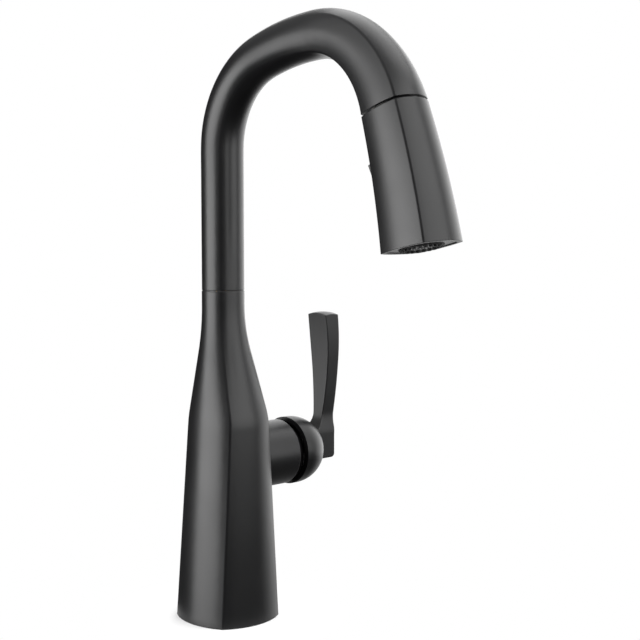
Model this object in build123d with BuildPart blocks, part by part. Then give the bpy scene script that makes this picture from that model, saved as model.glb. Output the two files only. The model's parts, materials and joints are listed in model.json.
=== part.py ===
from build123d import *
import os
from math import asin, cos, radians, sin, sqrt, tan

# Single-handle pull-down faucet. Millimetres, +Z up, deck top at Z = 0.
# The origin is where the spout's swivel axis meets the deck.
# The spout reaches towards -Y, and the lever is on the +X side.

# Column: a creased cone up to the shoulder, then a neck that eases into a round top.
base_radius = 30.6
base_shift = 2.4
shoulder_z = 120.5
shoulder_radius = 24.0
shoulder_shift = 4.6
shoulder_ease = 5.0
neck_z = 172.0
neck_ease = 14.0
column_top = 194.4
column_top_radius = 12.6
column_flat = 0.30
column_front_flat = 0.20
front_crease = 45.0
shoulder_crease = 37.0
crease_round = 0.7
crease_sink = 0.002
cavity_radius = 15.2
upper_cavity_radius = 14.2

# Spout centre line: a riser, then bends of (radius, turn in degrees) over the crown to the dock.
tube_radius = 12.5
tube_bore = 10.4
spout_foot = 195.05
riser_top = 276.587
arch_bends = [(53.2, 71.7), (154.05, 17.5), (52.2, 36.1), (63.9, 36.1)]
dock_radius = 17.5
spout_flat = 0.60
spout_front_flat = 0.20
spout_swell = 2.6

# Wand: short straight top, then a long gentle bend back to the vertical.
dock_gap = 1.35
wand_straight = 8.4
wand_bend_radius = 483.0
wand_turn = 7.8
rim_tilt = 1.6
rim_trim = 0.5
outlet_radius = 20.9
wand_wall = 2.8
wand_roof = 6.0
neck_radius = 9.6
collar_radius = 12.4
collar_bore = 9.9
collar_depth = 12.0
hose_radius = 5.5
hose_bore = 3.6

# Spout swivel in the column's neck.
shank_radius = 9.8
shank_bore = 7.6
shank_foot = 160.8
bush_bore = 9.85
bush_length = 8.0

# Valve: the lever's axis runs along +X, and the stem tilts about its pivot.
valve_y = -3.5
valve_z = 93.8
pivot_x = 34.0
housing_radius = 16.5
housing_bore = 13.2
housing_start = 8.5
housing_floor = 14.0
housing_mouth = 33.0
thread_radius = 15.0
case_bore = 12.6
disc_radius = 12.4
slider_radius = 9.2
slider_drop = 2.2
port_circle = 6.4
port_radius = 2.2
pin_radius = 1.5
stem_side = 6.0
ball_arm = 10.7
ball_radius = 2.0

# Hub, handle dome and lever.
hub_radius = 19.8
hub_bore = 18.0
hub_start = 15.3
hub_end = 41.2
cap_ball = 19.8
cap_wall = 1.4
dome_radius = 20.7
dome_rim = 46.3
dome_centre = 50.3
dome_cavity = 21.4
boss_half = 6.5
boss_drop = 8.0
lever_top = 178.3
lever_crown = 26.0
lever_tip_half = 8.1

# Deck fixing: threaded shank through a 35 mm hole, clamped from below.
fixing_radius = 16.8
fixing_length = 58.0
fixing_grip = 10.0
deck_thickness = 30.0
washer_radius = 27.0
nut_across = 46.0
tail_radius = 3.5
tail_depth = 12.0
tail_circle = 10.6
tail_angle = 50.0
foot_bottom = 60.0
foot_top = 84.0

UPRIGHT = (Align.CENTER, Align.CENTER, Align.MIN)

os.makedirs("parts", exist_ok=True)


def eased_corner(z, corner, ease, before, after):
    """Added height of a broken line whose corner is rounded by a parabola over +-ease."""
    if z <= corner - ease:
        return before * (z - corner)
    if z >= corner + ease:
        return after * (z - corner)
    reach = z - corner + ease
    return before * (z - corner) + (after - before) * reach**2 / (4 * ease)


def column_value(z, at_base, at_shoulder, at_top):
    """A column measure that runs straight from base to shoulder to neck, with eased corners."""
    lower = (at_shoulder - at_base) / shoulder_z
    upper = (at_top - at_shoulder) / (neck_z - shoulder_z)
    middle = (shoulder_z + neck_z) / 2
    if z < middle:
        return at_shoulder + eased_corner(z, shoulder_z, shoulder_ease, lower, upper)
    return at_top + eased_corner(z, neck_z, neck_ease, upper, 0)


def creased_outline(radius, side_flat, front_flat, crease):
    """Four shallow arcs that meet in rounded creases. Local +Y is the middle of the front panel.
    A panel's flat is 0 for part of a full circle and 1 for a straight side. The middle of a crease is
    sunk a little, so that its arc stays an edge of its own where the outline is a full circle."""
    corners = [crease, 135, 225, 360 - crease, 360 + crease]
    flats = [side_flat, side_flat, side_flat, front_flat]
    panels = []
    slants = []
    for start, end, flat in zip(corners, corners[1:], flats):
        half = radians(end - start) / 2
        middle = radians(start + end) / 2
        across = Vector(cos(middle), -sin(middle))
        outward = Vector(sin(middle), cos(middle))
        crown = radius * (1 - flat * (1 - cos(half)))
        sag = crown - radius * cos(half)
        bow = ((radius * sin(half)) ** 2 + sag**2) / (2 * sag)
        reach = asin(radius * sin(half) / bow)
        spread = reach - crease_round / bow
        turns = (-spread, 0, spread)
        panels.append([across * bow * sin(t) + outward * (crown - bow + bow * cos(t)) for t in turns])
        slants.append(half - reach)
    with BuildLine() as outline:
        for i, corner in enumerate(corners[1:]):
            after = (i + 1) % len(panels)
            top = radius - crease_sink - crease_round * tan((slants[i] + slants[after]) / 4)
            ridge = (top * sin(radians(corner)), top * cos(radians(corner)))
            ThreePointArc(*panels[i])
            ThreePointArc(panels[i][2], ridge, panels[after][0])
    make_face(outline.edges())


def tube(outer, inner, length):
    """A plain ring standing on the part's plane."""
    Cylinder(outer, length, align=UPRIGHT)
    Cylinder(inner, length, align=UPRIGHT, mode=Mode.SUBTRACT)


def bend(start, radius, turn):
    """Follow an arc of the centre line. A place is (forward, height, lean in degrees)."""
    forward, height, lean = start
    end = lean + turn
    forward += radius * (cos(radians(lean)) - cos(radians(end)))
    height += radius * (sin(radians(end)) - sin(radians(lean)))
    return forward, height, end


def run(start, length):
    """Follow a straight stretch of the centre line."""
    forward, height, lean = start
    return forward + length * sin(radians(lean)), height + length * cos(radians(lean)), lean


def point(place):
    """Centre line place as a point in space."""
    forward, height, _ = place
    return Vector(0, -forward, height)


def heading(place):
    """Direction of travel along the centre line."""
    lean = radians(place[2])
    return Vector(0, -sin(lean), cos(lean))


def cross_plane(place, ahead=0.0):
    """Plane across the centre line, local +Y on the outer side of the arch."""
    return Plane(origin=point(place) + ahead * heading(place), x_dir=(1, 0, 0), z_dir=heading(place))


def bar(place, start, end, radius, mode=Mode.ADD):
    """Round bar along the heading at a place on the centre line."""
    with BuildSketch(cross_plane(place, start)) as profile:
        Circle(radius)
    extrude(profile.sketch, amount=end - start, mode=mode)


def column_plane(z, shift=0.0):
    """Level plane whose local +Y points to the front of the column."""
    return Plane(origin=(0, -shift, z), x_dir=(-1, 0, 0), z_dir=(0, 0, 1))


def valve_plane(x):
    """Plane across the valve axis: local X is +Y, local Y is +Z, local Z is +X."""
    return Plane(origin=(x, valve_y, valve_z), x_dir=(0, 1, 0), z_dir=(1, 0, 0))


def ball_reach(ball, radius):
    """Distance from the pivot along the valve axis where a ball has the given radius."""
    return sqrt(ball**2 - radius**2)


def export(built, name):
    built.part.label = name
    export_step(built.part, f"parts/{name}.step")


# Places along the centre line
riser_end = (0.0, riser_top, 0.0)
bend_places = [riser_end]
for bend_radius, bend_turn in arch_bends:
    bend_places.append(bend(bend_places[-1], bend_radius, bend_turn))
dock = bend_places[-1]
arch_length = sum(bend_radius * radians(bend_turn) for bend_radius, bend_turn in arch_bends)
wand_bend_start = run(dock, wand_straight)
wand_end = bend(wand_bend_start, wand_bend_radius, wand_turn)
outlet = run((wand_end[0], wand_end[1], wand_end[2] - rim_tilt), -rim_trim)
wand_bend_length = wand_bend_radius * radians(wand_turn)
wand_length = wand_straight + wand_bend_length


def arch_place(distance):
    """Place on the arch, measured along the centre line from the top of the riser."""
    for start, (radius, turn) in zip(bend_places, arch_bends):
        length = radius * radians(turn)
        if distance <= length:
            return bend(start, radius, turn * distance / length)
        distance -= length
    return dock


def wand_place(distance):
    """Place on the wand's centre line, measured from the dock."""
    if distance <= wand_straight:
        return run(dock, distance)
    return bend(wand_bend_start, wand_bend_radius, wand_turn * (distance - wand_straight) / wand_bend_length)


def arch_path(last_run=0.0, first_z=spout_foot):
    """Centre line from first_z in the column to last_run past the dock."""
    Line((0, 0, first_z), point(riser_end))
    for start, end, (radius, turn) in zip(bend_places, bend_places[1:], arch_bends):
        ThreePointArc(point(start), point(bend(start, radius, turn / 2)), point(end))
    if last_run:
        Line(point(dock), point(dock) + last_run * heading(dock))


def wand_radius(distance):
    return dock_radius + (outlet_radius - dock_radius) * distance / wand_length


# Column casting, hollow, with the valve hole in its right flank
column_steps = 48
column_stations = [column_top * step / column_steps for step in range(column_steps + 1)]
gasket_outer, gasket_inner, gasket_depth = 22.8, 18.8, 1.6
cavity_step_z, cavity_shoulder_z, bush_seat_z = foot_top + 1, 120.0, 160.0


def column_section(z):
    """Outline of the column at one height."""
    crease = column_value(z, front_crease, shoulder_crease, front_crease)
    radius = column_value(z, base_radius, shoulder_radius, column_top_radius)
    share = min(1, max(0, column_value(z, 1, 1, 0)))
    creased_outline(radius, share * column_flat, share * column_front_flat, crease)


def column_level(z):
    """Plane of the column's section at one height."""
    return column_plane(z, column_value(z, base_shift, shoulder_shift, 0))


with BuildPart() as body_shell:
    for z in column_stations:
        with BuildSketch(column_level(z)):
            column_section(z)
    loft()
    with BuildSketch(Plane.XZ):
        with BuildLine():
            Polyline(
                (0, 0),
                (fixing_radius, 0),
                (fixing_radius, fixing_grip),
                (cavity_radius, fixing_grip),
                (cavity_radius, cavity_step_z),
                (upper_cavity_radius, cavity_step_z),
                (upper_cavity_radius, cavity_shoulder_z),
                (tube_bore, bush_seat_z),
                (tube_bore, column_top),
                (0, column_top),
                close=True,
            )
        make_face()
    revolve(axis=Axis.Z, mode=Mode.SUBTRACT)
    with BuildSketch(Plane.XY):
        Circle(gasket_outer)
        Circle(gasket_inner, mode=Mode.SUBTRACT)
    extrude(amount=gasket_depth, mode=Mode.SUBTRACT)
    with BuildSketch(valve_plane(housing_start)):
        Circle(housing_radius)
    extrude(amount=hub_end, mode=Mode.SUBTRACT)
    with BuildSketch(valve_plane(hub_start)):
        Circle(hub_radius)
    extrude(amount=hub_end, mode=Mode.SUBTRACT)
export(body_shell, "body_shell")

with BuildPart() as base_gasket:
    tube(gasket_outer, gasket_inner, gasket_depth)
export(base_gasket, "base_gasket")

# Deck fixing
with BuildPart(Plane.XY.offset(-fixing_length)) as mounting_shank:
    tube(fixing_radius, cavity_radius, fixing_length + fixing_grip)
    foot_rims = mounting_shank.edges().filter_by(GeomType.CIRCLE).group_by(Axis.Z)[0]
    chamfer(foot_rims.sort_by(SortBy.RADIUS)[-1], 0.8)
export(mounting_shank, "mounting_shank")

seal_thickness, plate_thickness, nut_height = 2.0, 1.6, 10.0
washer_hole = fixing_radius + 0.2
with BuildPart(Plane.XY.offset(-deck_thickness - seal_thickness)) as deck_seal_washer:
    tube(washer_radius, washer_hole, seal_thickness)
export(deck_seal_washer, "deck_seal_washer")

clamp_bottom = -deck_thickness - seal_thickness - plate_thickness
with BuildPart(Plane.XY.offset(clamp_bottom)) as clamp_washer:
    tube(washer_radius, washer_hole, plate_thickness)
export(clamp_washer, "clamp_washer")

with BuildPart(Plane.XY.offset(clamp_bottom - nut_height)) as mounting_nut:
    with BuildSketch(Plane.XY.offset(clamp_bottom - nut_height)):
        RegularPolygon(nut_across / 2, 6, major_radius=False)
        Circle(fixing_radius, mode=Mode.SUBTRACT)
    extrude(amount=nut_height)
export(mounting_nut, "mounting_nut")

# Valve housing: a socket for the cartridge with a foot that takes the three hose tails
hose_room = hose_radius + 0.8
channel_radius = 1.8
tail_top = foot_bottom + tail_depth
port_places = [(port_circle * sin(radians(a)), port_circle * cos(radians(a))) for a in (0, 125, 235)]
tail_places = [
    (tail_circle * cos(radians(a)), tail_circle * sin(radians(a))) for a in (0, tail_angle, -tail_angle)
]
with BuildPart() as valve_housing:
    with BuildSketch(valve_plane(housing_start)):
        Circle(housing_radius)
    extrude(amount=housing_mouth - 6 - housing_start)
    with BuildSketch(valve_plane(housing_start)):
        Circle(thread_radius)
    extrude(amount=housing_mouth - housing_start)
    with BuildSketch(Plane.XY.offset(foot_bottom)):
        Circle(cavity_radius - 0.1)
        with Locations((2 - cavity_radius, 0)):
            Rectangle(2 * cavity_radius, 2 * cavity_radius, mode=Mode.SUBTRACT)
        Circle(hose_room, mode=Mode.SUBTRACT)
    extrude(amount=foot_top - foot_bottom)
    with BuildSketch(valve_plane(housing_floor)):
        Circle(housing_bore)
    extrude(amount=housing_mouth, mode=Mode.SUBTRACT)
    for (tail_x, tail_y), (port_y, port_z) in zip(tail_places, port_places):
        with BuildSketch(Plane.XY.offset(foot_bottom)):
            with Locations((tail_x, tail_y)):
                Circle(tail_radius)
        extrude(amount=tail_depth, mode=Mode.SUBTRACT)
        low = Vector(tail_x, tail_y, tail_top - 1)
        high = Vector(housing_floor + 0.5, valve_y + port_y, valve_z + port_z)
        with BuildSketch(Plane(origin=low, z_dir=high - low)):
            Circle(channel_radius)
        extrude(amount=(high - low).length, mode=Mode.SUBTRACT)
export(valve_housing, "valve_housing")


def ported_disc(start, thickness):
    """Disc across the valve axis with the three water ports."""
    with BuildSketch(valve_plane(start)) as profile:
        Circle(disc_radius)
        with Locations(*port_places):
            Circle(port_radius, mode=Mode.SUBTRACT)
    extrude(profile.sketch, amount=thickness)


disc_seal_depth, fixed_disc_depth, sliding_gap = 1.0, 3.5, 0.05
with BuildPart() as disc_seal:
    ported_disc(housing_floor, disc_seal_depth)
export(disc_seal, "disc_seal")

fixed_disc_start = housing_floor + disc_seal_depth
with BuildPart() as fixed_disc:
    ported_disc(fixed_disc_start, fixed_disc_depth)
export(fixed_disc, "fixed_disc")

# Cartridge case, its seal, and the nut that holds both in the housing
case_end, case_flange, flange_start = 37.3, 14.8, housing_mouth + 1
with BuildPart(valve_plane(housing_floor)) as cartridge_case:
    tube(housing_bore, case_bore, case_end - housing_floor)
    with BuildSketch(valve_plane(flange_start)):
        Circle(case_flange)
        Circle(case_bore, mode=Mode.SUBTRACT)
    extrude(amount=case_end - flange_start)
export(cartridge_case, "cartridge_case")

with BuildPart(valve_plane(housing_mouth)) as case_o_ring:
    tube(case_flange, housing_bore, flange_start - housing_mouth)
export(case_o_ring, "case_o_ring")

nut_radius, nut_start, nut_face, nut_opening = 16.9, 27.2, 2.0, 8.8
with BuildPart(valve_plane(nut_start)) as bonnet_nut:
    tube(nut_radius, nut_opening, case_end + nut_face - nut_start)
    with BuildSketch(valve_plane(nut_start)):
        Circle(thread_radius)
    extrude(amount=case_end - nut_start, mode=Mode.SUBTRACT)
export(bonnet_nut, "bonnet_nut")

# Ball-shaped cover seen in the groove between hub and handle
cap_skirt_start, cap_mouth = 30.0, 14.0
cap_inner_ball = cap_ball - cap_wall
cap_skirt_bore = hub_bore - 1.0
with BuildPart() as bonnet_cap:
    with BuildSketch(Plane(origin=(pivot_x, valve_y, valve_z), x_dir=(1, 0, 0), z_dir=(0, -1, 0))):
        with BuildLine():
            mouth_r = ball_reach(cap_ball, cap_mouth)
            mouth_inner_r = ball_reach(cap_inner_ball, cap_mouth)
            skirt_x = ball_reach(cap_ball, hub_bore)
            skirt_inner_x = ball_reach(cap_inner_ball, cap_skirt_bore)
            mid = (cap_mouth + skirt_x) / 2
            Polyline(
                (skirt_inner_x, cap_skirt_bore),
                (cap_skirt_start - pivot_x, cap_skirt_bore),
                (cap_skirt_start - pivot_x, hub_bore),
                (skirt_x, hub_bore),
            )
            ThreePointArc((skirt_x, hub_bore), (mid, ball_reach(cap_ball, mid)), (cap_mouth, mouth_r))
            Line((cap_mouth, mouth_r), (cap_mouth, mouth_inner_r))
            ThreePointArc(
                (cap_mouth, mouth_inner_r),
                (mid, ball_reach(cap_inner_ball, mid)),
                (skirt_inner_x, cap_skirt_bore),
            )
        make_face()
    revolve(axis=Axis((0, valve_y, valve_z), (1, 0, 0)))
export(bonnet_cap, "bonnet_cap")

with BuildPart(valve_plane(hub_start)) as hub_sleeve:
    tube(hub_radius, hub_bore, hub_end - hub_start)
    rim = hub_sleeve.edges().filter_by(GeomType.CIRCLE).group_by(Axis.X)[-1]
    fillet(rim.sort_by(SortBy.RADIUS)[-1], 0.9)
export(hub_sleeve, "hub_sleeve")

# Carrier: turns in the case with the lever and holds the stem's pin
carrier_start, carrier_end = 24.6, 37.0
slot_half_y, slot_half_z = 3.3, 8.5
with BuildPart() as stem_carrier:
    with BuildSketch(valve_plane(carrier_start)):
        Circle(case_bore - 0.1)
        Rectangle(2 * slot_half_y, 2 * slot_half_z, mode=Mode.SUBTRACT)
    extrude(amount=carrier_end - carrier_start)
    with BuildSketch(Plane.XZ.offset(-valve_y)):
        with Locations((pivot_x, valve_z)):
            Circle(pin_radius)
    extrude(amount=case_bore, both=True, mode=Mode.SUBTRACT)
export(stem_carrier, "stem_carrier")

pin_half = 11.0
with BuildPart() as stem_pin:
    with BuildSketch(Plane.XZ.offset(-valve_y)):
        with Locations((pivot_x, valve_z)):
            Circle(pin_radius)
    extrude(amount=pin_half, both=True)
export(stem_pin, "stem_pin")

# Stem: ball end in the disc driver, square end in the handle
stem_start, stem_end, stem_neck_radius = 27.0, 64.0, 1.7
ball_x = pivot_x - ball_arm
with BuildPart() as valve_stem:
    with BuildSketch(valve_plane(stem_start)):
        Rectangle(stem_side, stem_side)
    extrude(amount=stem_end - stem_start)
    chamfer(valve_stem.edges().filter_by(Axis.X), 0.5)
    with BuildSketch(valve_plane(ball_x)):
        Circle(stem_neck_radius)
    extrude(amount=stem_start - ball_x)
    with Locations((ball_x, valve_y, valve_z)):
        Sphere(ball_radius)
    with BuildSketch(Plane.XZ.offset(-valve_y)):
        with Locations((pivot_x, valve_z)):
            Circle(pin_radius + 0.05)
    extrude(amount=stem_side, both=True, mode=Mode.SUBTRACT)
export(valve_stem, "valve_stem")

# Moving disc with its mixing pocket, and the driver that the stem's ball pushes
slider_start = fixed_disc_start + fixed_disc_depth + sliding_gap
slider_depth, pocket_depth, pocket_radius = 2.45, 1.2, 6.4
driver_depth, socket_half_y, socket_half_z = 3.2, 2.3, 2.6
with BuildPart() as moving_disc:
    with BuildSketch(valve_plane(slider_start)):
        with Locations((0, -slider_drop)):
            Circle(slider_radius)
    extrude(amount=slider_depth)
    with BuildSketch(valve_plane(slider_start)):
        with Locations((0, -slider_drop)):
            Circle(pocket_radius)
    extrude(amount=pocket_depth, mode=Mode.SUBTRACT)
export(moving_disc, "moving_disc")

with BuildPart() as disc_driver:
    with BuildSketch(valve_plane(slider_start + slider_depth)):
        with Locations((0, -slider_drop)):
            Circle(slider_radius)
        Rectangle(2 * socket_half_y, 2 * socket_half_z, mode=Mode.SUBTRACT)
    extrude(amount=driver_depth)
export(disc_driver, "disc_driver")

# Handle: hollow dome, boss and upright lever in one casting
boss_end, boss_back, boss_ridge, boss_round, lever_round, tip_round = 82.5, 56.0, 104.2, 2.5, 0.8, 0.4
boss_bottom, boss_bend_z, boss_bend, boss_bend_turn = valve_z - boss_drop, 98.6, 60.0, 5.7
lever_tip_inner, lever_tip_outer, lever_bow_inner, lever_bow_z = 72.5, 83.9, 75.4, 142.0
lever_root, boss_root = (73.7, 114.5), (67.5, boss_ridge)
waist_in, waist_in_turn, waist_out, waist_out_turn = 12.0, 22.0, 18.0, 28.5
blade_half, blade_z = 7.8, 150.0
crown_x, crown_reach, crown_room = 78.2, 11.0, 30.0
crown_edge = lever_top - lever_crown + ball_reach(lever_crown, crown_reach)
with BuildPart() as lever_blank:
    with BuildSketch(Plane.XZ.offset(-valve_y)):
        with BuildLine():
            Polyline(boss_root, (boss_back, boss_ridge), (boss_back, boss_bottom), (boss_end, boss_bottom))
            Line((boss_end, boss_bottom), (boss_end, boss_bend_z))
            outer_bend = JernArc((boss_end, boss_bend_z), (0, 1), boss_bend, -boss_bend_turn)
            TangentArc(outer_bend @ 1, (lever_tip_outer, lever_top), tangent=outer_bend % 1)
            Line((lever_tip_outer, lever_top), (lever_tip_inner, lever_top))
            inner = ThreePointArc((lever_tip_inner, lever_top), (lever_bow_inner, lever_bow_z), lever_root)
            TangentArc(lever_root, boss_root, tangent=inner % 1)
        make_face()
    extrude(amount=dome_radius, both=True)
    with BuildSketch(Plane(origin=(boss_back, valve_y, 0), x_dir=(0, 1, 0), z_dir=(1, 0, 0))):
        with BuildLine():
            Polyline((0, boss_bottom), (boss_half, boss_bottom), (boss_half, valve_z + boss_drop))
            inward = JernArc((boss_half, valve_z + boss_drop), (0, 1), waist_in, waist_in_turn)
            outward = JernArc(inward @ 1, inward % 1, waist_out, -waist_out_turn)
            blade = TangentArc(outward @ 1, (blade_half, blade_z), tangent=outward % 1)
            TangentArc(blade @ 1, (lever_tip_half, lever_top), tangent=blade % 1)
            Line((lever_tip_half, lever_top), (0, lever_top))
            mirror(about=Plane.YZ)
        make_face()
    extrude(amount=dome_radius + boss_end - boss_back, mode=Mode.INTERSECT)
    fillet(lever_blank.edges().filter_by(Axis.Y).group_by(Axis.Z)[0].sort_by(Axis.X)[-1], boss_round)
    side_edges = [
        edge
        for edge in lever_blank.edges()
        if edge.bounding_box().max.X > boss_back + 1
        and abs((edge % 0.5).Y) < 0.9
        and (edge @ 0.5).Z < lever_top - 1
    ]
    fillet(side_edges, lever_round)
    with BuildSketch(Plane(origin=(crown_x, valve_y, 0), x_dir=(1, 0, 0), z_dir=(0, -1, 0))):
        with BuildLine():
            Polyline((0, lever_top), (0, 0), (crown_room, 0), (crown_room, crown_edge))
            Line((crown_room, crown_edge), (crown_reach, crown_edge))
            RadiusArc((crown_reach, crown_edge), (0, lever_top), -lever_crown)
        make_face()
    revolve(axis=Axis((crown_x, valve_y, 0), (0, 0, 1)), mode=Mode.INTERSECT)
    top_edges = [edge for edge in lever_blank.edges() if edge.bounding_box().min.Z > crown_edge - 1]
    fillet(top_edges, tip_round)

screw_x, screw_radius, screw_length, hex_key = 60.0, 2.5, 7.0, 2.5
screw_top = valve_z - stem_side / 2
plug_top, plug_depth = 79.0, 2.6
with BuildPart() as lever_handle:
    with BuildSketch(Plane(origin=(0, valve_y, valve_z), x_dir=(1, 0, 0), z_dir=(0, -1, 0))):
        with BuildLine():
            rim_inner = ball_reach(dome_cavity, dome_rim - pivot_x)
            RadiusArc((dome_rim, rim_inner), (pivot_x + dome_cavity, 0), dome_cavity)
            Line((pivot_x + dome_cavity, 0), (dome_centre + dome_radius, 0))
            RadiusArc((dome_centre, dome_radius), (dome_centre + dome_radius, 0), dome_radius)
            Polyline((dome_centre, dome_radius), (dome_rim, dome_radius), (dome_rim, rim_inner))
        make_face()
    revolve(axis=Axis((0, valve_y, valve_z), (1, 0, 0)))
    add(lever_blank.part)
    with BuildSketch(valve_plane(dome_rim)):
        Rectangle(stem_side, stem_side)
    extrude(amount=stem_end - dome_rim, mode=Mode.SUBTRACT)
    with BuildSketch(Plane.XY.offset(screw_top)):
        with Locations((screw_x, valve_y)):
            Circle(screw_radius)
    extrude(amount=-dome_radius, mode=Mode.SUBTRACT)
export(lever_handle, "lever_handle")

with BuildPart() as handle_set_screw:
    with BuildSketch(Plane.XY.offset(screw_top - screw_length)):
        with Locations((screw_x, valve_y)):
            Circle(screw_radius)
    extrude(amount=screw_length)
    with BuildSketch(Plane.XY.offset(screw_top - screw_length)):
        with Locations((screw_x, valve_y)):
            RegularPolygon(hex_key / 2, 6, major_radius=False)
    extrude(amount=screw_length / 2, mode=Mode.SUBTRACT)
export(handle_set_screw, "handle_set_screw")

with BuildPart() as set_screw_plug:
    with BuildSketch(Plane.XY.offset(plug_top - plug_depth)):
        with Locations((screw_x, valve_y)):
            Circle(screw_radius)
    extrude(amount=plug_depth)
export(set_screw_plug, "set_screw_plug")

# Spout tube: round riser, then an arch that swells and grows creases towards the dock
riser_steps, arch_steps, crease_from, crease_to = 9, 21, 0.34, 0.93
with BuildPart() as spout_tube:
    for step in range(riser_steps):
        with BuildSketch(Plane.XY.offset(spout_foot + (riser_top - spout_foot) * step / riser_steps)):
            creased_outline(tube_radius, 0, 0, front_crease)
    for step in range(arch_steps + 1):
        share = step / arch_steps
        radius = tube_radius + (dock_radius - tube_radius) * share**spout_swell
        growth = min(1, max(0, (share - crease_from) / (crease_to - crease_from)))
        eased = growth**2 * (3 - 2 * growth)
        with BuildSketch(cross_plane(arch_place(share * arch_length))):
            creased_outline(radius, spout_flat * eased, spout_front_flat * eased, front_crease)
    loft()
    with BuildLine():
        arch_path()
    with BuildSketch(Plane.XY.offset(spout_foot)):
        Circle(tube_bore)
    sweep(mode=Mode.SUBTRACT)
    bar(dock, -collar_depth, collar_depth, collar_radius, Mode.SUBTRACT)
export(spout_tube, "spout_tube")

# Swivel: brass shank in two plastic bushes, held down by a snap ring
shank_head, clip_bore, clip_radius, clip_bottom, clip_height, clip_gap = 215.0, 9.0, 10.1, 161.7, 1.1, 5.0
clip_top = clip_bottom + clip_height
with BuildPart() as swivel_shank:
    with BuildSketch(Plane.XZ):
        with BuildLine():
            Polyline(
                (shank_bore, shank_foot),
                (shank_radius, shank_foot),
                (shank_radius, clip_bottom),
                (clip_bore, clip_bottom),
                (clip_bore, clip_top),
                (shank_radius, clip_top),
                (shank_radius, spout_foot),
                (tube_bore, spout_foot),
                (tube_bore, shank_head),
                (shank_bore, shank_head),
                close=True,
            )
        make_face()
    revolve(axis=Axis.Z)
export(swivel_shank, "swivel_shank")

with BuildPart() as retaining_clip:
    with BuildSketch(Plane.XY.offset(clip_bottom)):
        Circle(clip_radius)
        Circle(clip_bore, mode=Mode.SUBTRACT)
        with Locations((0, clip_radius)):
            Rectangle(clip_gap, clip_gap, mode=Mode.SUBTRACT)
    extrude(amount=clip_height)
export(retaining_clip, "retaining_clip")

lower_bush_z = clip_top + 0.4
upper_bush_z = column_top - bush_length - 3
with BuildPart(Plane.XY.offset(lower_bush_z)) as lower_swivel_bush:
    tube(tube_bore, bush_bore, bush_length)
export(lower_swivel_bush, "lower_swivel_bush")

with BuildPart(Plane.XY.offset(upper_bush_z)) as upper_swivel_bush:
    tube(tube_bore, bush_bore, bush_length)
export(upper_swivel_bush, "upper_swivel_bush")

glide_radius, glide_height = 12.2, 0.5
with BuildPart(Plane.XY.offset(column_top)) as glide_ring:
    tube(glide_radius, tube_bore, glide_height)
export(glide_ring, "glide_ring")

# Dock: collar and magnet in the spout's end
magnet_depth, magnet_set_back = 3.4, 0.6
with BuildPart(cross_plane(dock, -collar_depth)) as dock_collar:
    tube(collar_radius, collar_bore, collar_depth - magnet_depth - magnet_set_back)
export(dock_collar, "dock_collar")

with BuildPart(cross_plane(dock, -magnet_depth - magnet_set_back)) as dock_magnet:
    tube(collar_radius, collar_bore, magnet_depth)
export(dock_magnet, "dock_magnet")

# Hose inside the column, spout and wand neck, and the fitting on its lower end
hose_foot, hose_in_neck = -46.0, 5.0
fitting_radius, fitting_grip, fitting_base = 7.0, 12.0, 4.0
spigot_radius, spigot_bore, spigot_length = 4.5, 2.6, 12.0
with BuildPart() as pullout_hose:
    with BuildLine():
        arch_path(hose_in_neck, hose_foot)
    with BuildSketch(Plane.XY.offset(hose_foot)):
        Circle(hose_radius)
        Circle(hose_bore, mode=Mode.SUBTRACT)
    sweep()
export(pullout_hose, "pullout_hose")

with BuildPart(Plane.XY.offset(hose_foot)) as hose_end_fitting:
    tube(fitting_radius, hose_radius, fitting_grip)
    with BuildSketch(Plane.XY.offset(hose_foot)):
        Circle(fitting_radius)
        Circle(spigot_bore, mode=Mode.SUBTRACT)
    extrude(amount=-fitting_base)
    with BuildSketch(Plane.XY.offset(hose_foot - fitting_base)):
        Circle(spigot_radius)
        Circle(spigot_bore, mode=Mode.SUBTRACT)
    extrude(amount=-spigot_length + fitting_base)
export(hose_end_fitting, "hose_end_fitting")

# Wand shell: creased outside, cavity of the same form, window for the toggle
toggle_place, toggle_upper, toggle_lower, toggle_half_width = 37.0, 12.6, 9.6, 8.5
toggle_pivot_y, toggle_pin_radius, toggle_pin_half = -13.5, 1.2, 11.6
toggle_plane = cross_plane(dock, toggle_place)
toggle_side = Plane(origin=toggle_plane.origin, x_dir=toggle_plane.y_dir, z_dir=(1, 0, 0))
window_room, window_half_width, window_depth = 1.1, toggle_half_width + 0.4, 14.0
rim_room = 2.0
wand_stations = [dock_gap, wand_straight, 20, 32, 44, 56, 66, wand_length + rim_room]
strike_depth, running_gap = 0.8, 0.05


def pin_hole(radius):
    """Circle of the toggle's cross pin."""
    with BuildSketch(toggle_side) as profile:
        with Locations((toggle_pivot_y, 0)):
            Circle(radius)
    return profile.sketch


with BuildPart() as wand_shell:
    for distance in wand_stations:
        with BuildSketch(cross_plane(wand_place(distance))):
            creased_outline(wand_radius(distance), spout_flat, spout_front_flat, front_crease)
    loft()
    for distance in [wand_roof] + wand_stations[1:]:
        with BuildSketch(cross_plane(wand_place(distance))):
            creased_outline(wand_radius(distance) - wand_wall, spout_flat, spout_front_flat, front_crease)
    loft(mode=Mode.SUBTRACT)
    bar(outlet, 0, 4 * rim_room, 2 * outlet_radius, Mode.SUBTRACT)
    bar(dock, 0, wand_roof + 1, neck_radius, Mode.SUBTRACT)
    bar(dock, 0, dock_gap + strike_depth, collar_radius, Mode.SUBTRACT)
    with BuildSketch(cross_plane(dock, toggle_place - toggle_upper - window_room)):
        with Locations((0, toggle_pivot_y)):
            Rectangle(2 * window_half_width, window_depth)
    extrude(amount=toggle_upper + toggle_lower + 2 * window_room, mode=Mode.SUBTRACT)
    extrude(pin_hole(toggle_pin_radius), amount=toggle_pin_half, both=True, mode=Mode.SUBTRACT)
export(wand_shell, "wand_shell")

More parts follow.
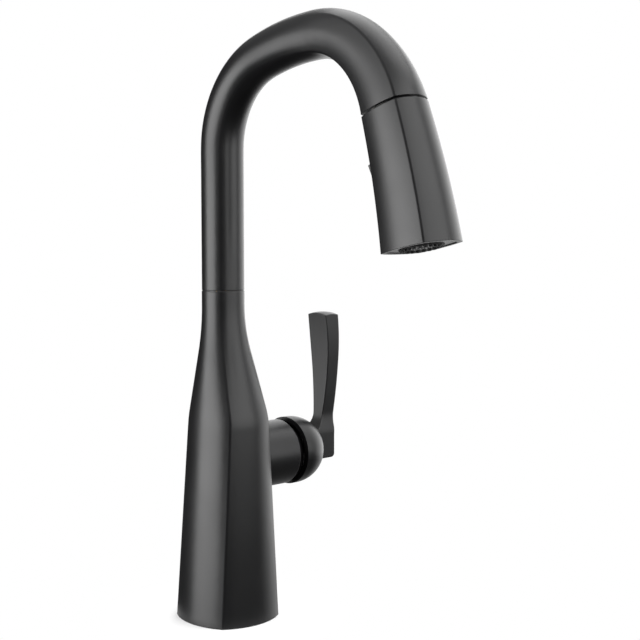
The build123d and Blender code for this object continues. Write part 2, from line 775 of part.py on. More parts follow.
with BuildPart(cross_plane(dock, dock_gap)) as strike_ring:
    tube(collar_radius, neck_radius, strike_depth)
export(strike_ring, "strike_ring")

# Neck: guides the wand in the dock and takes the hose and the check valve
neck_start, neck_end, neck_flange, neck_body, flange_depth = -11.0, 24.5, 12.1, 8.0, 2.0
neck_flare, neck_socket, neck_water = 7.2, hose_radius + 0.1, 3.4
groove_start, groove_depth, groove_radius, o_ring_radius, o_ring_round = -8.0, 2.0, 8.4, 9.7, 0.6
check_start, check_end, check_radius = 9.0, 21.0, 5.0
with BuildPart() as wand_neck:
    bar(dock, neck_start, wand_roof, neck_radius)
    bar(dock, wand_roof, wand_roof + flange_depth, neck_flange)
    bar(dock, wand_roof, neck_end, neck_body)
    bar(dock, neck_start, 0, neck_flare, Mode.SUBTRACT)
    bar(dock, 0, hose_in_neck, neck_socket, Mode.SUBTRACT)
    bar(dock, 0, neck_end, neck_water, Mode.SUBTRACT)
    bar(dock, check_start, check_end, check_radius, Mode.SUBTRACT)
    with BuildSketch(cross_plane(dock, groove_start)):
        Circle(neck_radius)
        Circle(groove_radius, mode=Mode.SUBTRACT)
    extrude(amount=groove_depth, mode=Mode.SUBTRACT)
export(wand_neck, "wand_neck")

with BuildPart(cross_plane(dock, groove_start)) as neck_o_ring:
    tube(o_ring_radius, groove_radius, groove_depth)
    fillet(neck_o_ring.edges().filter_by(GeomType.CIRCLE).sort_by(SortBy.RADIUS)[-2:], o_ring_round)
export(neck_o_ring, "neck_o_ring")

check_bore, check_seat, check_disc_depth, check_hole_circle, check_hole = 3.8, 4.0, 2.0, 2.4, 0.9
with BuildPart(cross_plane(dock, check_start)) as check_valve:
    tube(check_radius, check_bore, check_end - check_start)
    with BuildSketch(cross_plane(dock, check_start + check_seat)):
        Circle(check_bore)
        with PolarLocations(check_hole_circle, 4):
            Circle(check_hole, mode=Mode.SUBTRACT)
    extrude(amount=check_disc_depth)
export(check_valve, "check_valve")

# Diverter: body with a spool that the toggle's leg shifts along the wand
diverter_radius, diverter_end, spool_y, spool_radius, water_y = 9.8, 52.0, -5.5, 3.0, 4.5
leg_half, leg_tip_y, leg_root_y, leg_slot_half, leg_slot_length = 1.5, -7.3, -13.0, 2.3, 9.0
with BuildPart() as diverter_body:
    with BuildSketch(cross_plane(dock, neck_end)):
        Circle(diverter_radius)
        with Locations((0, spool_y)):
            Circle(spool_radius + running_gap, mode=Mode.SUBTRACT)
        with Locations((0, water_y)):
            Circle(neck_water, mode=Mode.SUBTRACT)
    extrude(amount=diverter_end - neck_end)
    with BuildSketch(cross_plane(dock, toggle_place - leg_slot_length / 2)):
        with Locations((0, spool_y - diverter_radius / 2)):
            Rectangle(2 * leg_slot_half, diverter_radius)
    extrude(amount=leg_slot_length, mode=Mode.SUBTRACT)
export(diverter_body, "diverter_body")

spool_start, spool_end, spool_core, spool_groove = 27.0, 49.0, 1.4, 4.6
seal_places, seal_core, seal_width, seal_gap = [31.0, 43.0], 2.2, 1.6, 0.02
grooves = [(toggle_place, spool_groove, spool_core)]
grooves += [(place, seal_width, seal_core) for place in seal_places]
with BuildPart() as diverter_spool:
    with BuildSketch(cross_plane(dock, spool_start)):
        with Locations((0, spool_y)):
            Circle(spool_radius)
    extrude(amount=spool_end - spool_start)
    for place, width, core in grooves:
        with BuildSketch(cross_plane(dock, place - width / 2)):
            with Locations((0, spool_y)):
                Circle(spool_radius)
                Circle(core, mode=Mode.SUBTRACT)
        extrude(amount=width, mode=Mode.SUBTRACT)
export(diverter_spool, "diverter_spool")

with BuildPart() as spool_seals:
    for place in seal_places:
        with BuildSketch(cross_plane(dock, place - seal_width / 2)):
            with Locations((0, spool_y)):
                Circle(spool_radius + running_gap - seal_gap)
                Circle(seal_core, mode=Mode.SUBTRACT)
        extrude(amount=seal_width)
export(spool_seals, "spool_seals")

# Toggle on the wand's back: a rocker on a cross pin, its upper end proud at rest
toggle_top_y, toggle_middle_y, toggle_low_y, toggle_back_y, toggle_belly_y = -19.0, -17.6, -17.0, -12.5, -11.7
toggle_round = 0.6
with BuildPart() as spray_toggle:
    with BuildSketch(toggle_side):
        with BuildLine():
            upper, lower = (toggle_top_y, -toggle_upper), (toggle_low_y, toggle_lower)
            ThreePointArc(upper, (toggle_middle_y, 0), lower)
            Polyline(
                lower,
                (toggle_back_y, toggle_lower),
                (toggle_belly_y, 0),
                (toggle_back_y, -toggle_upper),
                upper,
            )
        make_face()
    extrude(amount=toggle_half_width, both=True)
    fillet(spray_toggle.faces().sort_by(Axis.Y)[-1].edges(), toggle_round)
    with BuildSketch(toggle_side):
        with Locations(((leg_tip_y + leg_root_y) / 2, 0)):
            Rectangle(leg_tip_y - leg_root_y, 2 * leg_half)
    extrude(amount=leg_half, both=True)
    extrude(pin_hole(toggle_pin_radius + running_gap), amount=toggle_half_width, both=True, mode=Mode.SUBTRACT)
export(spray_toggle, "spray_toggle")

with BuildPart() as toggle_pin:
    extrude(pin_hole(toggle_pin_radius), amount=toggle_pin_half, both=True)
export(toggle_pin, "toggle_pin")

# Spray head on the outlet axis: chamber, face plate, nozzle ring and aerator
chamber_top, chamber_bottom, chamber_radius, chamber_wall, chamber_roof = -18.5, -5.0, 14.0, 1.6, 2.0
stream_outer, stream_inner, stream_hole, spray_hole, spray_hole_y = 7.4, 5.8, 2.5, 2.0, -9.6
with BuildPart() as spray_chamber:
    bar(outlet, chamber_top, chamber_bottom, chamber_radius)
    with BuildSketch(cross_plane(outlet, chamber_top + chamber_roof)):
        Circle(chamber_radius - chamber_wall)
        Circle(stream_outer, mode=Mode.SUBTRACT)
        Circle(stream_inner)
    extrude(amount=chamber_radius, mode=Mode.SUBTRACT)
    with BuildSketch(cross_plane(outlet, chamber_top)):
        Circle(stream_hole)
        with Locations((0, spray_hole_y)):
            Circle(spray_hole)
    extrude(amount=chamber_roof, mode=Mode.SUBTRACT)
export(spray_chamber, "spray_chamber")

ring_outer, ring_inner, ring_flange, ring_face, ring_gap = 11.6, 6.6, 13.5, 0.1, 0.1
plate_back, plate_face, plate_gap = -3.4, -0.4, 0.5
with BuildPart() as face_plate:
    with BuildSketch(cross_plane(outlet, plate_back)):
        creased_outline(outlet_radius - wand_wall - plate_gap, spout_flat, spout_front_flat, front_crease)
        Circle(ring_outer + ring_gap, mode=Mode.SUBTRACT)
    extrude(amount=plate_face - plate_back)
export(face_plate, "face_plate")

nozzle_radius, nozzle_bore, nozzle_length, nozzle_taper = 1.15, 0.4, 1.0, 8
nozzle_circle, nozzle_count = 9.5, 20
with BuildPart() as nozzle_ring:
    bar(outlet, chamber_bottom, plate_back - ring_gap, ring_flange)
    bar(outlet, chamber_bottom, ring_face, ring_outer)
    bar(outlet, chamber_bottom, ring_face, ring_inner, Mode.SUBTRACT)
    with BuildSketch(cross_plane(outlet, ring_face)):
        with PolarLocations(nozzle_circle, nozzle_count):
            Circle(nozzle_radius)
    extrude(amount=nozzle_length, taper=nozzle_taper)
    with BuildSketch(cross_plane(outlet, chamber_bottom)):
        with PolarLocations(nozzle_circle, nozzle_count):
            Circle(nozzle_bore)
    extrude(amount=ring_face + nozzle_length - chamber_bottom, mode=Mode.SUBTRACT)
export(nozzle_ring, "nozzle_ring")

aerator_radius, aerator_face, mesh_pitch, mesh_rows, mesh_hole, mesh_depth = 6.4, 0.1, 0.85, 5, 0.5, 2.0
with BuildPart() as aerator:
    bar(outlet, chamber_bottom, aerator_face, aerator_radius)
    with BuildSketch(cross_plane(outlet, aerator_face)):
        with HexLocations(mesh_pitch, mesh_rows, mesh_rows):
            Circle(mesh_hole)
    extrude(amount=-mesh_depth, mode=Mode.SUBTRACT)
export(aerator, "aerator")
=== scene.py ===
# %% [markdown]
# # A pull-down faucet, dressed for the camera
#
# The faucet was made in CAD as separate solids that already sit where they belong. This lesson loads
# those solids as a fixed frame and gives them what CAD can't: finishes, a ribbed hose, a cut thread,
# a studio and a camera. Everything is in metres, +Z is up and the top of the sink deck is at Z = 0.

# %% Load the frame
import json
import math

import bpy
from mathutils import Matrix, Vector


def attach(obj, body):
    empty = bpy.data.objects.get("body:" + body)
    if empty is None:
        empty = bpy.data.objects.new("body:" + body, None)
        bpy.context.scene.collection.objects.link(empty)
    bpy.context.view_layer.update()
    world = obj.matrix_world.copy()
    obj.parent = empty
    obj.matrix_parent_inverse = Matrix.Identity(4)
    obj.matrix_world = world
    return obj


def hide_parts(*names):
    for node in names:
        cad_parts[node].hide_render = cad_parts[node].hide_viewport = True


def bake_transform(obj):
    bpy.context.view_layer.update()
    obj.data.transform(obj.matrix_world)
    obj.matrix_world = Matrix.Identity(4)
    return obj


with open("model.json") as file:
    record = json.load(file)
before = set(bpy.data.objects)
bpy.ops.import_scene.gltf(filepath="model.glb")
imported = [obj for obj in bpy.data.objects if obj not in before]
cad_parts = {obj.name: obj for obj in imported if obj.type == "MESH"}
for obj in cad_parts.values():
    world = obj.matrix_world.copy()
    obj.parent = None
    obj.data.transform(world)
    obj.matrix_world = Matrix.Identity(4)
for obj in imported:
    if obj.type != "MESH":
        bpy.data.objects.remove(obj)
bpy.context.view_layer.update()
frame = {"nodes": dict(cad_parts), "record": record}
nodes = frame["nodes"]
subparts = frame["record"]["subparts"]
MM = 0.001


# %% [markdown]
# ## Camera
#
# The lens was worked out from the photograph: the upright sides of the column, the dock seam and the
# rim of the wand fix where the camera stood, about level with the wand and about forty degrees to the
# left of the spout. A fairly long lens keeps the column's sides nearly parallel.

# %% Camera at the photograph's angle
CAMERA_PLACE = Vector((-477.1, -582.9, 238.7)) * MM
CAMERA_AIM = Vector((0.6880, 0.7211, -0.0818))
LENS_MM, SENSOR_MM = 71.66, 36.0

lens = bpy.data.cameras.new("studio_lens")
lens.lens = LENS_MM
lens.sensor_width = SENSOR_MM
camera = bpy.data.objects.new("studio_camera", lens)
camera.location = CAMERA_PLACE
camera.rotation_mode = "QUATERNION"
camera.rotation_quaternion = CAMERA_AIM.to_track_quat("-Z", "Y")
bpy.context.scene.collection.objects.link(camera)
bpy.context.scene.camera = camera
print("camera", [round(v, 3) for v in camera.location])

# %% [markdown]
# ## Node helper and colours
#
# Every finish is a small node tree. One function adds a node, sets its options and either links or
# fills its sockets, so that a material reads as a list of what it does. Colours are written as the sRGB
# hex values that a picture editor shows, and are turned to the linear values that the renderer uses.


# %% Helpers for materials
def linear(code):
    """sRGB hex such as '1c1c1d' as a linear RGBA colour."""
    shares = [int(code[i : i + 2], 16) / 255 for i in (0, 2, 4)]
    return (*[s / 12.92 if s <= 0.04045 else ((s + 0.055) / 1.055) ** 2.4 for s in shares], 1.0)


def add(tree, kind, sockets=None, **settings):
    """Add a shader node. A socket's value may be a number, a colour or another node's output."""
    made = tree.nodes.new("ShaderNode" + kind)
    for name, value in settings.items():
        setattr(made, name, value)
    for name, value in (sockets or {}).items():
        if isinstance(value, bpy.types.NodeSocket):
            tree.links.new(value, made.inputs[name])
        else:
            made.inputs[name].default_value = value
    return made


def new_material(name):
    """A material and its node tree, which is still empty."""
    material = bpy.data.materials.new(name)
    material.use_nodes = True
    material.node_tree.nodes.clear()
    return material, material.node_tree


print("helpers ready")

# %% [markdown]
# ## Patterns at real size
#
# A noise texture repeats about once per unit of its scale, so one over the real size of a grain or
# patch is the scale that draws it true. Most of a noise lies between 0.3 and 0.7, and stretching that
# range makes gloss vary evenly round its middle value. Detail is how many finer layers a noise has.

# %% Scale and spread of a pattern
NOISE_LOW, NOISE_HIGH = 0.3, 0.7
GRAIN_LAYERS, PATCH_LAYERS, STAIN_LAYERS = 2.0, 3.0, 4.0
# A Mix node has sockets for each kind of data. These are its two colours and the mixed one.
COLOUR_A, COLOUR_B, COLOUR_OUT = 6, 7, 2


def per_mm(size):
    """Texture scale at which one cell of the pattern is size millimetres across."""
    return 1 / (size * MM)


def varied(noise, middle, swing):
    """Sockets of a Map Range that spreads a noise round a middle value."""
    return {
        "Value": noise.outputs["Fac"], "From Min": NOISE_LOW, "From Max": NOISE_HIGH,
        "To Min": middle - swing, "To Max": middle + swing,
    }


finishes = {}
print("a grain of half a millimetre has scale", per_mm(0.5))

# %% [markdown]
# ## Satin black coating
#
# Column, spout, hub and handle are zinc and brass castings with a black coating that is baked on, and
# the wand's shell is ABS with the same film. It is smooth with a faint grain of about half a
# millimetre, so lights show as wide soft bands. The creases are rounded by the film: a Bevel node turns
# the shading there over the width of the edge, and the rounded line faces the camera and reads as a
# fine dark seam. Handling rubs the edges a little paler and leaves slightly smoother and rougher
# patches a few centimetres across.

# %% Satin black, on metal and on plastic
FILM_COLOUR, RUBBED_COLOUR = "0e0e0f", "141415"
FILM_ROUGHNESS, FILM_SWING, FILM_IOR, FILM_SPECULAR = 0.35, 0.025, 1.5, 0.4
FILM_PATCH_MM, FILM_GRAIN_MM, FILM_GRAIN_DEPTH_MM, FILM_GRAIN_STRENGTH = 35, 0.6, 0.05, 0.06
EDGE_MM, EDGE_SAMPLES = 0.6, 6
# Cosine of the angle by which the bevel turns the surface where rubbing starts, and where it is full
RUB_START, RUB_FULL = 0.995, 0.93


def satin_black(name):
    """Black film: soft gloss, faint grain, rounded and lightly rubbed edges."""
    material, tree = new_material(name)
    place = add(tree, "TexCoord").outputs["Object"]
    patches = add(tree, "TexNoise", {
        "Vector": place, "Scale": per_mm(FILM_PATCH_MM), "Detail": PATCH_LAYERS,
    })
    grain = add(tree, "TexNoise", {
        "Vector": place, "Scale": per_mm(FILM_GRAIN_MM), "Detail": GRAIN_LAYERS,
    })
    edge = add(tree, "Bevel", {"Radius": EDGE_MM * MM}, samples=EDGE_SAMPLES)
    flat = add(tree, "NewGeometry")
    turn = add(tree, "VectorMath", {
        0: edge.outputs["Normal"], 1: flat.outputs["Normal"],
    }, operation="DOT_PRODUCT")
    rubbed = add(tree, "MapRange", {
        "Value": turn.outputs["Value"], "From Min": RUB_START, "From Max": RUB_FULL,
    })
    tone = add(tree, "Mix", {
        "Factor": rubbed.outputs["Result"],
        COLOUR_A: linear(FILM_COLOUR), COLOUR_B: linear(RUBBED_COLOUR),
    }, data_type="RGBA")
    gloss = add(tree, "MapRange", varied(patches, FILM_ROUGHNESS, FILM_SWING))
    bump = add(tree, "Bump", {
        "Height": grain.outputs["Fac"], "Normal": edge.outputs["Normal"],
        "Strength": FILM_GRAIN_STRENGTH, "Distance": FILM_GRAIN_DEPTH_MM * MM,
    })
    shader = add(tree, "BsdfPrincipled", {
        "Base Color": tone.outputs[COLOUR_OUT], "Roughness": gloss.outputs["Result"],
        "Normal": bump.outputs["Normal"], "IOR": FILM_IOR, "Specular IOR Level": FILM_SPECULAR,
    })
    add(tree, "OutputMaterial", {"Surface": shader.outputs["BSDF"]})
    return material


finishes["satin_black_metal"] = satin_black("satin_black_coated_casting")
finishes["satin_black_plastic"] = satin_black("satin_black_coated_abs")
print("made", [finish.name for finish in finishes.values()])

# %% [markdown]
# ## Metals
#
# Brass fittings and stainless pins are turned on a lathe or drawn, which leaves fine lines. Noise that
# is stretched along the lines gives that streak. Real turning marks are some hundredths of a millimetre
# apart, too fine to show, so they are drawn at a third of a millimetre. Nickel plating fills them, so
# the magnet's are wider apart and its gloss is higher.

# %% Turned brass, drawn stainless steel and nickel plating
LINE_STRETCH, LINE_SWING, LINE_STRENGTH, LINE_DEPTH_MM = 0.04, 0.08, 0.15, 0.03
STAIN_MM = 9


def machined_metal(name, light, dark, roughness, line_mm):
    """Bare metal with fine machining lines round the vertical axis."""
    material, tree = new_material(name)
    place = add(tree, "TexCoord").outputs["Object"]
    stretched = add(tree, "Mapping", {"Vector": place, "Scale": (LINE_STRETCH, LINE_STRETCH, 1.0)})
    lines = add(tree, "TexNoise", {
        "Vector": stretched.outputs["Vector"], "Scale": per_mm(line_mm), "Detail": PATCH_LAYERS,
    })
    stain = add(tree, "TexNoise", {
        "Vector": place, "Scale": per_mm(STAIN_MM), "Detail": STAIN_LAYERS,
    })
    tone = add(tree, "Mix", {
        "Factor": stain.outputs["Fac"], COLOUR_A: linear(light), COLOUR_B: linear(dark),
    }, data_type="RGBA")
    gloss = add(tree, "MapRange", varied(lines, roughness, LINE_SWING))
    bump = add(tree, "Bump", {
        "Height": lines.outputs["Fac"], "Strength": LINE_STRENGTH, "Distance": LINE_DEPTH_MM * MM,
    })
    shader = add(tree, "BsdfPrincipled", {
        "Base Color": tone.outputs[COLOUR_OUT], "Roughness": gloss.outputs["Result"],
        "Normal": bump.outputs["Normal"], "Metallic": 1.0,
    })
    add(tree, "OutputMaterial", {"Surface": shader.outputs["BSDF"]})
    return material


# Material slot: name, light and dark colour, roughness, line spacing in millimetres
METALS = {
    "brass": ("turned_brass", "d9b56a", "b98f45", 0.30, 0.35),
    "stainless_steel": ("drawn_stainless_steel", "c8c8ca", "a9a9ac", 0.28, 0.3),
    "magnet_nickel": ("nickel_plated_magnet", "cfcac0", "b5b0a6", 0.22, 0.8),
}
for slot, look in METALS.items():
    finishes[slot] = machined_metal(*look)
print("made", [finishes[slot].name for slot in METALS])

# %% [markdown]
# ## Plastics, ceramic and rubber
#
# Acetal and glass-filled nylon mouldings keep the fine spark-eroded texture of their mould. Lapped
# alumina discs are off-white with a dull gloss. Rubber and silicone are matt with a bloom that lightens
# them in patches. They differ in colour, gloss, grain size and IOR, so one function makes them all.

# %% Moulded and lapped pieces
DRIFT_MM, DRIFT_SWING, MOULD_STRENGTH = 12, 0.05, 0.3


def moulded(name, colour, pale, roughness, grain_mm, depth_mm, ior):
    """A moulded or lapped surface: fine grain, and a slow drift of colour and gloss."""
    material, tree = new_material(name)
    place = add(tree, "TexCoord").outputs["Object"]
    grain = add(tree, "TexNoise", {
        "Vector": place, "Scale": per_mm(grain_mm), "Detail": GRAIN_LAYERS,
    })
    drift = add(tree, "TexNoise", {
        "Vector": place, "Scale": per_mm(DRIFT_MM), "Detail": PATCH_LAYERS,
    })
    tone = add(tree, "Mix", {
        "Factor": drift.outputs["Fac"], COLOUR_A: linear(colour), COLOUR_B: linear(pale),
    }, data_type="RGBA")
    gloss = add(tree, "MapRange", varied(drift, roughness, DRIFT_SWING))
    bump = add(tree, "Bump", {
        "Height": grain.outputs["Fac"], "Strength": MOULD_STRENGTH, "Distance": depth_mm * MM,
    })
    shader = add(tree, "BsdfPrincipled", {
        "Base Color": tone.outputs[COLOUR_OUT], "Roughness": gloss.outputs["Result"],
        "Normal": bump.outputs["Normal"], "IOR": ior,
    })
    add(tree, "OutputMaterial", {"Surface": shader.outputs["BSDF"]})
    return material


# Material slot: name, colour, paler colour, roughness, grain and its depth in millimetres, IOR
MOULDINGS = {
    "ceramic": ("lapped_alumina", "e9e6df", "dedad0", 0.25, 0.3, 0.01, 1.76),
    "white_plastic": ("white_acetal", "e8e8e4", "dddcd6", 0.42, 0.5, 0.02, 1.48),
    "grey_plastic": ("grey_glass_filled_nylon", "4a4b4d", "55565a", 0.5, 0.4, 0.03, 1.53),
    "black_acetal": ("black_acetal", "19191a", "1e1e1f", 0.45, 0.5, 0.02, 1.48),
    "black_rubber": ("black_nitrile_rubber", "161616", "222222", 0.7, 0.5, 0.04, 1.52),
    "nozzle_rubber": ("black_silicone_rubber", "0f0f10", "171718", 0.6, 0.4, 0.03, 1.41),
    "hose_braid": ("black_nylon_sheath", "202022", "2c2c2f", 0.55, 0.6, 0.03, 1.53),
}
for slot, look in MOULDINGS.items():
    finishes[slot] = moulded(*look)
print(len(finishes), "finishes")

# %% [markdown]
# ## Dress the solids
#
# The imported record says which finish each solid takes. The CAD meshes stay untouched: only what is in
# their material slot changes.

# %% Give each solid its finish
for part in subparts:
    solid = nodes[part["node"]]
    solid.data.materials.clear()
    solid.data.materials.append(finishes[part["material_slot"]])
print("dressed", len(subparts), "solids")

# %% [markdown]
# ## Route of the pull-out hose
#
# Inside the spout runs the hose that the wand hangs on. In CAD it is a plain solid, but it is soft, and
# a hand's length of it shows when the wand is pulled out of its dock. A chain of straight runs would
# look like bent wire, so a NURBS line with a few control points gives the route. Its points are read
# from the curve as a mesh.

# %% Centre line of the hose
# Forward of the swivel axis and above the deck, in millimetres
HOSE_ROUTE = [
    (0.0, -46.0), (0.0, 265.3), (0.0, 287.8), (9.1, 308.4), (25.8, 323.6),
    (59.0, 334.5), (99.7, 335.1), (130.6, 313.3), (138.84, 288.77),
]
ROUTE_STEPS, ROUTE_ORDER = 12, 3

route = bpy.data.curves.new("hose_route", "CURVE")
route.dimensions = "3D"
route.resolution_u = ROUTE_STEPS
spline = route.splines.new("NURBS")
spline.points.add(len(HOSE_ROUTE) - 1)
for knot, (forward, height) in zip(spline.points, HOSE_ROUTE):
    knot.co = (0, -forward * MM, height * MM, 1)
spline.order_u = ROUTE_ORDER
spline.use_endpoint_u = True
route_object = bpy.data.objects.new("hose_route", route)
bpy.context.scene.collection.objects.link(route_object)
bpy.context.view_layer.update()
evaluated = route_object.evaluated_get(bpy.context.evaluated_depsgraph_get())
sampled = bpy.data.meshes.new_from_object(evaluated)
centres = [v.co.copy() for v in sampled.vertices]
bpy.data.objects.remove(route_object)
bpy.data.meshes.remove(sampled)
hose_length = sum((b - a).length for a, b in zip(centres, centres[1:]))
print("hose line", len(centres), "points,", round(hose_length, 3), "m")

# %% [markdown]
# ## Meshes from points
#
# Hose and thread are both tubes whose points are worked out row by row. Two helpers turn such rows into
# a mesh object, and a third gives the points of a circle.


# %% Helpers for meshes
def mesh_object(name, verts, faces, smooth=True):
    """A new mesh object in the scene."""
    mesh = bpy.data.meshes.new(name)
    mesh.from_pydata(verts, [], faces)
    mesh.validate()
    mesh.polygons.foreach_set("use_smooth", [smooth] * len(mesh.polygons))
    made = bpy.data.objects.new(name, mesh)
    bpy.context.scene.collection.objects.link(made)
    return made


def grid_faces(rows, columns):
    """Quads of a tube whose points lie row after row."""
    faces = []
    for row in range(rows - 1):
        low, high = row * columns, (row + 1) * columns
        for here in range(columns):
            beside = (here + 1) % columns
            faces.append((low + here, low + beside, high + beside, high + here))
    return faces


def circle(count):
    """Points evenly spaced on a circle of radius one."""
    angles = [math.tau * k / count for k in range(count)]
    return [(math.cos(angle), math.sin(angle)) for angle in angles]


print("a tube of 3 rows of 4 points has", len(grid_faces(3, 4)), "faces")

# %% [markdown]
# ## Ribbed hose
#
# The real hose has a nylon sheath with fine ribs along it, so a ribbed ring is swept along the line. The
# long part stays in the spout. The last stretch, at the dock, is a piece of its own. Ribs that run
# along the hose keep their look if that stretch gets longer.

# %% Hose in two pieces
HOSE_RADIUS, RIB_DEPTH, RIBS, SIDES = 5.4 * MM, 0.12 * MM, 20, 120
DOCK = Vector((0, -137.245, 293.51)) * MM
ACROSS = Vector((1, 0, 0))
PULLED_STRETCH, BLEND_ABOVE, BLEND_BELOW = 15 * MM, 12 * MM, 4.5 * MM


def ribbed_tube(name, line):
    """A closed piece of hose with ribs along it, whose rings stand on the points of a line."""
    points = []
    for i, centre in enumerate(line):
        along = (line[min(i + 1, len(line) - 1)] - line[max(i - 1, 0)]).normalized()
        outward = along.cross(ACROSS)
        for k in range(SIDES):
            angle = math.tau * k / SIDES
            radius = HOSE_RADIUS + RIB_DEPTH * (math.cos(RIBS * angle) - 1)
            points.append(centre + radius * (math.cos(angle) * ACROSS + math.sin(angle) * outward))
    last = (len(line) - 1) * SIDES
    caps = [tuple(reversed(range(SIDES))), tuple(range(last, last + SIDES))]
    tube = mesh_object(name, points, grid_faces(len(line), SIDES) + caps)
    tube.data.materials.append(finishes["hose_braid"])
    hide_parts("pullout_hose")
    return tube


split = next(i for i, centre in enumerate(centres) if (centre - DOCK).length < PULLED_STRETCH)
hose = ribbed_tube("ribbed_hose", centres[: split + 1])
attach(hose, "spout")
hose_end = ribbed_tube("ribbed_hose_end", centres[split:])
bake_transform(hose_end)
print("hose", len(hose.data.polygons), "faces, end", len(hose_end.data.polygons), "faces")

# %% [markdown]
# ## Mounting thread
#
# The brass shank below the deck is a threaded tube. In CAD it is plain, at its working diameter. A
# thread is one ridge that climbs one pitch each turn, so the mesh is a tube whose rows are sheared to
# follow that climb: crest and root rows stay crest and root all the way round.

# %% Threaded shank
SHANK_TOP, SHANK_FOOT, SHANK_CREST, SHANK_BORE = 10.0 * MM, -58.0 * MM, 16.8 * MM, 15.2 * MM
PITCH, THREAD_DEPTH, THREAD_TOP, THREAD_SIDES = 1.5 * MM, 0.85 * MM, -1.0 * MM, 72
# Share of the pitch and share of the depth: crest, crest, root, root
THREAD_ROWS = [(0.0, 0.0), (0.12, 0.0), (0.5, 1.0), (0.62, 1.0)]

turns = int((THREAD_TOP - SHANK_FOOT) / PITCH) + 2
levels = [(turn - 1 + share, depth) for turn in range(turns) for share, depth in THREAD_ROWS]
rows = [[(SHANK_BORE, SHANK_FOOT)] * THREAD_SIDES]
for level, depth in levels:
    row = []
    for k in range(THREAD_SIDES):
        height = SHANK_FOOT + (level + k / THREAD_SIDES) * PITCH
        cut = depth if SHANK_FOOT < height < THREAD_TOP else 1.0
        height = min(max(height, SHANK_FOOT), THREAD_TOP)
        row.append((SHANK_CREST - THREAD_DEPTH * cut, height))
    rows.append(row)
rows += [[(radius, height)] * THREAD_SIDES for radius, height in [
    (SHANK_CREST, THREAD_TOP), (SHANK_CREST, SHANK_TOP),
    (SHANK_BORE, SHANK_TOP), (SHANK_BORE, SHANK_FOOT),
]]
ring = circle(THREAD_SIDES)
shank_points = [(r * c, r * s, z) for row in rows for (r, z), (c, s) in zip(row, ring)]
shank_faces = grid_faces(len(rows), THREAD_SIDES)
shank = mesh_object("threaded_shank", shank_points, shank_faces, smooth=False)
shank.data.materials.append(finishes["brass"])
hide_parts("mounting_shank")
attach(shank, "column")
print("thread", turns, "turns,", len(shank.data.polygons), "faces")

# %% [markdown]
# ## Studio floor
#
# The floor is the top of the sink deck: matt white board near the foot, which holds the shadow, and for
# the camera one even white further out. The film mirrors only a small board: what it sees beyond that
# is the dark room, which is why the underside of the arch is nearly black in the photograph.

# %% Floor
FLOOR_RADIUS, SHADOW_RADIUS, BOARD_RADIUS, FOOT_RADIUS = 0.30, 0.075, 0.05, 0.02
FLOOR_SIDES = 96
BOARD_COLOUR, BOARD_ROUGHNESS, BOARD_SPECULAR = "fafafa", 0.9, 0.1
WHITE = (1, 1, 1, 1)

rim = [(FLOOR_RADIUS * c, FLOOR_RADIUS * s, 0) for c, s in circle(FLOOR_SIDES)]
floor = mesh_object("deck_top", rim, [range(FLOOR_SIDES)], smooth=False)

floor_finish, tree = new_material("white_matt_board")
path = add(tree, "LightPath")
seen = add(tree, "Math", {
    0: path.outputs["Is Camera Ray"], 1: path.outputs["Is Transmission Ray"],
}, operation="MAXIMUM")
reach = add(tree, "MapRange", {
    "Value": seen.outputs["Value"], "To Min": BOARD_RADIUS, "To Max": SHADOW_RADIUS,
})
far = add(tree, "VectorMath", {0: add(tree, "TexCoord").outputs["Object"]}, operation="LENGTH")
fade = add(tree, "MapRange", {
    "Value": far.outputs["Value"], "From Min": FOOT_RADIUS, "From Max": reach.outputs["Result"],
}, interpolation_type="SMOOTHSTEP")
board = add(tree, "BsdfPrincipled", {
    "Base Color": linear(BOARD_COLOUR), "Roughness": BOARD_ROUGHNESS,
    "Specular IOR Level": BOARD_SPECULAR,
})
paper = add(tree, "Emission", {"Color": WHITE, "Strength": 1.0})
gone = add(tree, "BsdfTransparent")
beyond = add(tree, "MixShader", {
    0: seen.outputs["Value"], 1: gone.outputs["BSDF"], 2: paper.outputs["Emission"],
})
mixed = add(tree, "MixShader", {
    0: fade.outputs["Result"], 1: board.outputs["BSDF"], 2: beyond.outputs["Shader"],
})
add(tree, "OutputMaterial", {"Surface": mixed.outputs["Shader"]})
floor.data.materials.append(floor_finish)
print("floor", FLOOR_RADIUS * 2, "m across")

# %% [markdown]
# ## Room
#
# The camera sees plain white all round. The black film mirrors the whole room, so what it sees was read
# from the bands on the round riser in the photograph: a sheet of white paper behind on the right, a pale
# ceiling, and a dark room round the camera, which is the dark line between the bands.

# %% World: white paper behind the faucet, pale ceiling, dark room round the camera
TO_CAMERA = Vector((-CAMERA_AIM.x, -CAMERA_AIM.y, 0)).normalized()
TO_LEFT = Vector((-CAMERA_AIM.y, CAMERA_AIM.x, 0)).normalized()
ROOM_LEVEL, CEILING_LEVEL = 0.04, 0.7
PAPER_TURN, PAPER_EDGE, PAPER_FULL = -150, 0.64, 0.91
CEILING_EDGE, CEILING_FULL = 0.35, 0.75


def turned(degrees):
    """Level direction from the faucet, as an angle to the left of the camera."""
    angle = math.radians(degrees)
    return math.cos(angle) * TO_CAMERA + math.sin(angle) * TO_LEFT


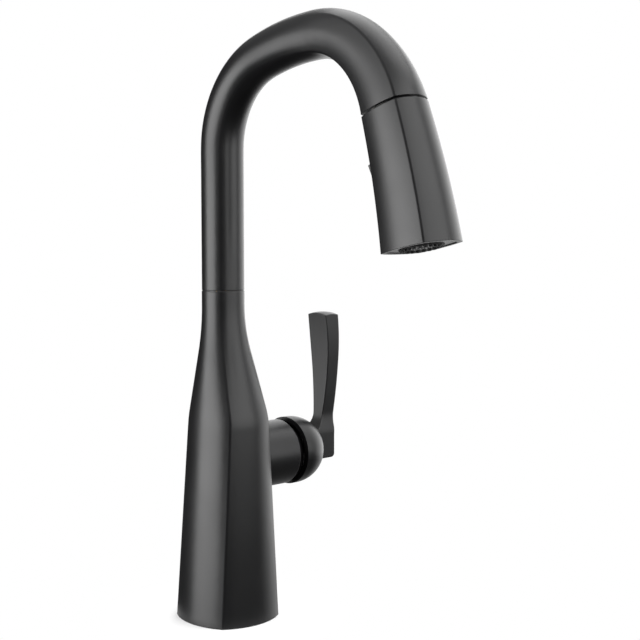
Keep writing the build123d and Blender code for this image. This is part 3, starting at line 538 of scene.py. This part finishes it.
world = bpy.data.worlds.new("studio")
bpy.context.scene.world = world
world.use_nodes = True
tree = world.node_tree
tree.nodes.clear()
path = add(tree, "LightPath")
way = add(tree, "TexCoord").outputs["Generated"]
behind = add(tree, "VectorMath", {0: way, 1: turned(PAPER_TURN)}, operation="DOT_PRODUCT")
paper = add(tree, "MapRange", {
    "Value": behind.outputs["Value"], "From Min": PAPER_EDGE, "From Max": PAPER_FULL,
})
rise = add(tree, "SeparateXYZ", {"Vector": way})
ceiling = add(tree, "MapRange", {
    "Value": rise.outputs["Z"], "From Min": CEILING_EDGE, "From Max": CEILING_FULL,
    "To Max": CEILING_LEVEL,
})
mirrored = add(tree, "Math", {
    0: path.outputs["Is Glossy Ray"], 1: paper.outputs["Result"],
}, operation="MULTIPLY")
plain = add(tree, "Math", {
    0: path.outputs["Is Camera Ray"], 1: path.outputs["Is Transmission Ray"],
}, operation="MAXIMUM")
backdrop = add(tree, "Math", {
    0: plain.outputs["Value"], 1: mirrored.outputs["Value"],
}, operation="MAXIMUM")
white = add(tree, "Math", {
    0: backdrop.outputs["Value"], 1: ceiling.outputs["Result"],
}, operation="MAXIMUM")
level = add(tree, "MapRange", {
    "Value": white.outputs["Value"], "To Min": ROOM_LEVEL, "To Max": 1.0,
})
sky = add(tree, "Background", {"Color": WHITE, "Strength": level.outputs["Result"]})
add(tree, "OutputWorld", {"Surface": sky.outputs["Background"]})
print("room at", ROOM_LEVEL, "ceiling at", CEILING_LEVEL)

# %% [markdown]
# ## Soft boxes
#
# Six rectangular lamps make the bands. On the left a bright low box and a weaker tall one give a band
# that thins out upwards. On the right a wide one reaches higher. One behind on the right and a narrow
# strip straight behind draw the pale rims along the outline, and one overhead lights the arch's back.
# A lamp's power is its radiance times pi times its area, so a box can be resized at the same brightness.

# %% Six lamps
LIT_PLACE = Vector((0, -0.06, 0))
# Name, degrees to the left of the camera, distance, height, height it aims at, size, radiance
SOFT_BOXES = [
    ("left_soft_box", 67, 1.1, 0.16, 0.16, (1.06, 0.84), 5.3),
    ("left_tall_soft_box", 69, 1.15, 0.55, 0.55, (1.2, 1.6), 1.5),
    ("right_soft_box", -54, 1.1, 0.75, 0.75, (1.5, 1.5), 3.0),
    ("back_soft_box", -132, 1.1, 0.40, 0.40, (1.4, 1.2), 1.5),
    ("top_soft_box", -140, 0.55, 1.35, 0.30, (1.5, 1.0), 2.2),
    ("rim_strip", 178, 1.1, 0.50, 0.50, (0.6, 1.0), 1.2),
]


def soft_box(name, turn, distance, height, aim, size, radiance):
    """Rectangular lamp that faces the faucet."""
    lamp = bpy.data.lights.new(name, "AREA")
    lamp.shape = "RECTANGLE"
    lamp.size, lamp.size_y = size
    lamp.energy = radiance * math.pi * size[0] * size[1]
    outward = distance * turned(turn)
    box = bpy.data.objects.new(name, lamp)
    box.location = LIT_PLACE + outward + Vector((0, 0, height))
    box.rotation_mode = "QUATERNION"
    box.rotation_quaternion = Vector((*(-outward).xy, aim - height)).to_track_quat("-Z", "Y")
    box.visible_camera = False
    bpy.context.scene.collection.objects.link(box)


for row in SOFT_BOXES:
    soft_box(*row)
bpy.context.scene.view_settings.view_transform = "Standard"
print(len(SOFT_BOXES), "soft boxes")
